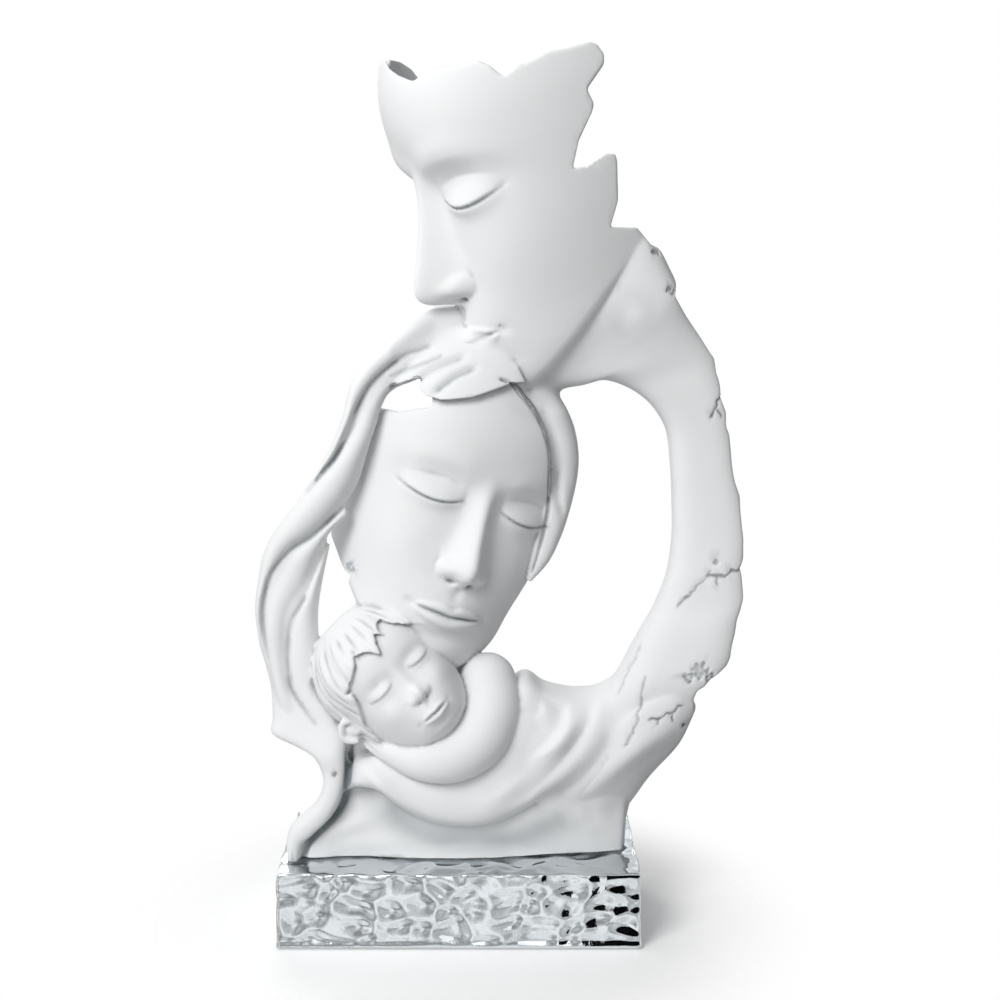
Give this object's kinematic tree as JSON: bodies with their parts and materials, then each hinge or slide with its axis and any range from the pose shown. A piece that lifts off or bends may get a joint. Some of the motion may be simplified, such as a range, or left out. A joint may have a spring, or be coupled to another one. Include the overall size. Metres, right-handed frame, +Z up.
{
  "type": "family group sculpture",
  "caption": "White cast family group of two hollow masks and a sleeping child, wrapped in hair, neck and cloth, on a silver hammered rectangular plinth.",
  "frame": {"origin": "centre of the plinth's underside", "axes": "+Z up, +X to the viewer's right, -Y towards the viewer who sees the mother's face"},
  "size_m": [0.2759, 0.1205, 0.4912],
  "materials": {
    "white_casting": "matte cast resin with grey in the creases",
    "silver_plinth": "bright silver with a hammered surface"
  },
  "bodies": {
    "root": {"family_group": "white_casting", "plinth": "silver_plinth"}
  },
  "joints": []
}
